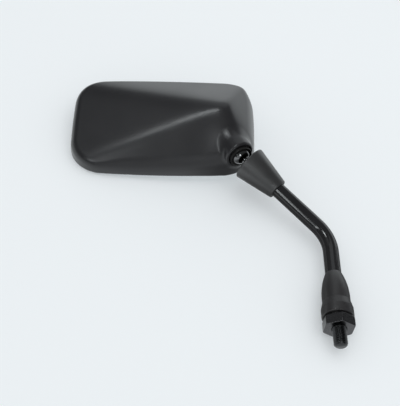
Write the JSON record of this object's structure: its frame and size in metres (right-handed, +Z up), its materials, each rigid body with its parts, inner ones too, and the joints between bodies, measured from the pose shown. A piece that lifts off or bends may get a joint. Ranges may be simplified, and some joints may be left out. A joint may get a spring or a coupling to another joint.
{
  "type": "motorcycle mirror",
  "caption": "Rear-view mirror for a motorcycle: ridged moulded head with convex glass on a ball joint, booted bent stem, bell base and threaded mount stud with lock nut.",
  "frame": {"origin": "on the axis of the mount stud, where its free thread starts just below the lock nut", "axes": "+Z up along the stud and the stem's leg, glass facing +Y, head towards -X"},
  "size_m": [0.2196, 0.0576, 0.2426],
  "materials": {
    "zinc_black": "black zinc plate, satin",
    "spring_steel": "dark oiled spring steel",
    "satin_black": "satin black powder coat",
    "gloss_black": "gloss black paint",
    "chromed_black": "gloss black finish over steel",
    "boot_rubber": "matt black rubber",
    "nylon": "black nylon",
    "housing_black": "matt black moulded plastic with a fine grain",
    "mirror_silver": "silvered convex glass",
    "pad_foam": "closed-cell foam",
    "gasket_rubber": "black rubber",
    "plate_steel": "zinc-plated sheet steel"
  },
  "bodies": {
    "stem": {"stem_tube": "gloss_black", "ball_stud": "chromed_black", "stem_base": "satin_black", "mount_stud": "zinc_black"},
    "boot": {"rubber_boot": "boot_rubber"},
    "ball_seats": {"seat_ring": "nylon", "pressure_cup": "nylon"},
    "mirror_head": {"mirror_housing": "housing_black", "mirror_glass": "mirror_silver", "foam_pad": "pad_foam", "rim_gasket": "gasket_rubber", "glass_backing_plate": "plate_steel", "backing_screws": "plate_steel", "disc_springs": "spring_steel", "clamp_plug": "zinc_black"},
    "nut_washer": {"lock_washer": "spring_steel"},
    "lock_nut": {"lock_nut": "zinc_black"}
  },
  "joints": [
    {"name": "shank_turn", "type": "hinge", "parent": "stem", "child": "boot", "pos_m": [-0.06926, -0.0229, 0.14529], "axis": [0.7133, 0.2359, -0.66], "continuous": true},
    {"name": "ball_tilt", "type": "hinge", "parent": "boot", "child": "ball_seats", "pos_m": [-0.06926, -0.0229, 0.14529], "axis": [-0.5121, 0.8184, -0.2609], "range_deg": [-49, 1]},
    {"name": "neck_turn", "type": "hinge", "parent": "ball_seats", "child": "mirror_head", "pos_m": [-0.06926, -0.0229, 0.14529], "axis": [0.454, 0, -0.891], "continuous": true},
    {"name": "nut_travel", "type": "slide", "parent": "stem", "child": "nut_washer", "axis": [0, 0, -1], "range_m": [0, 0.01]},
    {"name": "nut_turn", "type": "hinge", "parent": "nut_washer", "child": "lock_nut", "pos_m": [0, 0, 0], "axis": [0, 0, -1], "range_deg": [0, 2881]}
  ],
  "couplings": [
    {"joint": "nut_turn", "follows": "nut_travel", "rad_per_m": 5026.5}
  ]
}
